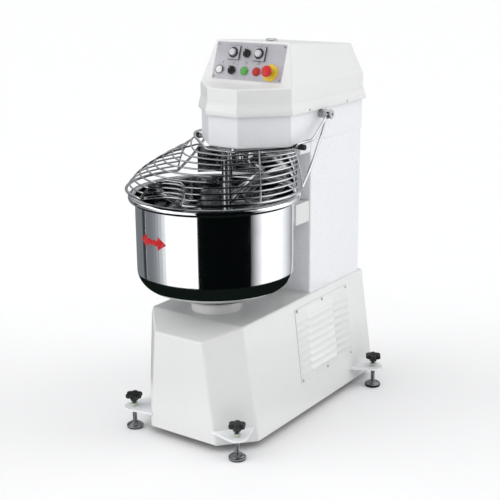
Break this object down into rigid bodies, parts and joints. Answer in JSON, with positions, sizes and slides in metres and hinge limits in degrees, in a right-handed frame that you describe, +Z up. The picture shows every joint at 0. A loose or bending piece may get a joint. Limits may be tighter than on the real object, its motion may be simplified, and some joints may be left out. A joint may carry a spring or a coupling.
{
  "type": "spiral dough mixer",
  "caption": "Floor-standing spiral dough mixer with turning polished bowl, spiral hook, centre post, hinged wire guard, tilted control panel and star-knob levelling feet",
  "frame": {"origin": "on the floor, at the middle of the machine's bounding box in plan", "axes": "+Z up; the front, with the bowl and the control panel, faces -Y; +X is the operator's right when facing the machine from the front"},
  "size_m": [0.676, 1.006, 1.3482],
  "materials": {
    "white_paint": "smooth white powder coat",
    "cool_white_paint": "smooth blue-white powder coat",
    "brushed_plate": "fine brushed stainless plate",
    "polished_steel": "mirror-polished stainless steel",
    "plain_steel": "turned steel",
    "cast_grey": "grey painted casting",
    "drive_cast": "machined casting",
    "black_plastic": "moulded black plastic",
    "black_rubber": "black rubber",
    "red_plastic": "glossy red plastic",
    "green_plastic": "glossy green plastic",
    "yellow_plastic": "satin yellow plastic",
    "lens_plastic": "clear white lens",
    "box_plastic": "grey moulded enclosure"
  },
  "bodies": {
    "frame": {"pedestal_shell": "white_paint", "access_panel": "white_paint", "column_shell": "cool_white_paint", "column_rear_cover": "cool_white_paint", "electrical_box": "box_plastic", "head_shell": "cool_white_paint", "hood": "white_paint", "lifting_cap": "plain_steel", "control_plate": "brushed_plate", "timer_bezel_left": "black_plastic", "timer_bezel_right": "black_plastic", "lamp_bezel": "polished_steel", "lamp_lens": "lens_plastic", "start_bezel": "green_plastic", "stop_bezel": "red_plastic", "emergency_disc": "yellow_plastic", "bowl_bearing_housing": "white_paint", "bowl_motor": "cast_grey", "bowl_belt": "black_rubber", "spindle_housing": "cast_grey", "spiral_motor": "cast_grey", "spiral_belt": "black_rubber", "centre_post": "polished_steel", "rear_shield": "polished_steel", "roller_box": "white_paint", "guard_pivot_left": "plain_steel", "rest_peg_left": "plain_steel", "peg_cap_left": "black_rubber", "guard_pivot_right": "plain_steel", "rest_peg_right": "plain_steel", "peg_cap_right": "black_rubber", "foot_bracket_front_left": "white_paint", "foot_bracket_front_right": "white_paint", "foot_bracket_rear_left": "white_paint", "foot_bracket_rear_right": "white_paint"},
    "bowl_turn": {"bowl": "polished_steel", "bowl_spindle": "plain_steel", "bowl_pulley": "drive_cast"},
    "bowl_motor_rotor": {"bowl_motor_pulley": "plain_steel"},
    "roller": {"guide_roller": "black_rubber"},
    "spiral_turn": {"spiral_hook": "polished_steel", "spindle": "plain_steel", "spiral_pulley": "drive_cast"},
    "spiral_motor_rotor": {"spiral_motor_pulley": "plain_steel"},
    "guard": {"wire_guard": "polished_steel"},
    "timer_left": {"timer_dial_left": "black_plastic"},
    "timer_right": {"timer_dial_right": "black_plastic"},
    "mode_knob": {"mode_selector": "black_plastic"},
    "speed_knob": {"speed_selector": "black_plastic"},
    "start": {"start_button": "green_plastic"},
    "stop": {"stop_button": "red_plastic"},
    "emergency": {"emergency_button": "red_plastic"},
    "foot_front_left": {"foot_screw_front_left": "plain_steel", "foot_knob_front_left": "black_plastic"},
    "foot_front_right": {"foot_screw_front_right": "plain_steel", "foot_knob_front_right": "black_plastic"},
    "foot_rear_left": {"foot_screw_rear_left": "plain_steel", "foot_knob_rear_left": "black_plastic"},
    "foot_rear_right": {"foot_screw_rear_right": "plain_steel", "foot_knob_rear_right": "black_plastic"}
  },
  "joints": [
    {"name": "bowl_spin", "type": "hinge", "parent": "frame", "child": "bowl_turn", "pos_m": [0, -0.203, 0.6], "axis": [0, 0, 1], "continuous": true},
    {"name": "bowl_motor_spin", "type": "hinge", "parent": "frame", "child": "bowl_motor_rotor", "pos_m": [0, 0.17, 0.19], "axis": [0, 0, 1], "continuous": true},
    {"name": "guide_roller_spin", "type": "hinge", "parent": "frame", "child": "roller", "pos_m": [0.161, 0.03856, 0.75], "axis": [0, 0, 1], "continuous": true},
    {"name": "spiral_spin", "type": "hinge", "parent": "frame", "child": "spiral_turn", "pos_m": [0, -0.022, 0.9], "axis": [0, 0, 1], "continuous": true},
    {"name": "spiral_motor_spin", "type": "hinge", "parent": "frame", "child": "spiral_motor_rotor", "pos_m": [0, 0.3, 1.125], "axis": [0, 0, 1], "continuous": true},
    {"name": "guard_swing", "type": "hinge", "parent": "frame", "child": "guard", "pos_m": [0, 0.171, 1.093], "axis": [-1, 0, 0], "range_deg": [0, 62]},
    {"name": "timer_left_turn", "type": "hinge", "parent": "frame", "child": "timer_left", "pos_m": [-0.066, 0.01788, 1.30316], "axis": [0, -0.9454, 0.326], "range_deg": [-300, 0]},
    {"name": "timer_right_turn", "type": "hinge", "parent": "frame", "child": "timer_right", "pos_m": [0.042, 0.01788, 1.30316], "axis": [0, -0.9454, 0.326], "range_deg": [-300, 0]},
    {"name": "mode_turn", "type": "hinge", "parent": "frame", "child": "mode_knob", "pos_m": [-0.012, 0.01788, 1.30316], "axis": [0, -0.9454, 0.326], "range_deg": [-45, 45]},
    {"name": "speed_turn", "type": "hinge", "parent": "frame", "child": "speed_knob", "pos_m": [-0.064, -0.00233, 1.24454], "axis": [0, -0.9454, 0.326], "range_deg": [-45, 45]},
    {"name": "start_press", "type": "slide", "parent": "frame", "child": "start", "axis": [0, 0.9454, -0.326], "range_m": [0, 0.004], "stiffness_N_per_m": 600},
    {"name": "stop_press", "type": "slide", "parent": "frame", "child": "stop", "axis": [0, 0.9454, -0.326], "range_m": [0, 0.004], "stiffness_N_per_m": 600},
    {"name": "emergency_press", "type": "slide", "parent": "frame", "child": "emergency", "axis": [0, 0.9454, -0.326], "range_m": [0, 0.005]},
    {"name": "foot_front_left_height", "type": "slide", "parent": "frame", "child": "foot_front_left", "axis": [0, 0, -1], "range_m": [-0.03, 0.008]},
    {"name": "foot_front_right_height", "type": "slide", "parent": "frame", "child": "foot_front_right", "axis": [0, 0, -1], "range_m": [-0.03, 0.008]},
    {"name": "foot_rear_left_height", "type": "slide", "parent": "frame", "child": "foot_rear_left", "axis": [0, 0, -1], "range_m": [-0.03, 0.008]},
    {"name": "foot_rear_right_height", "type": "slide", "parent": "frame", "child": "foot_rear_right", "axis": [0, 0, -1], "range_m": [-0.03, 0.008]}
  ],
  "couplings": [
    {"joint": "bowl_motor_spin", "follows": "bowl_spin", "ratio": 3.5},
    {"joint": "guide_roller_spin", "follows": "bowl_spin", "ratio": -15.111},
    {"joint": "spiral_motor_spin", "follows": "spiral_spin", "ratio": 2.7632}
  ]
}
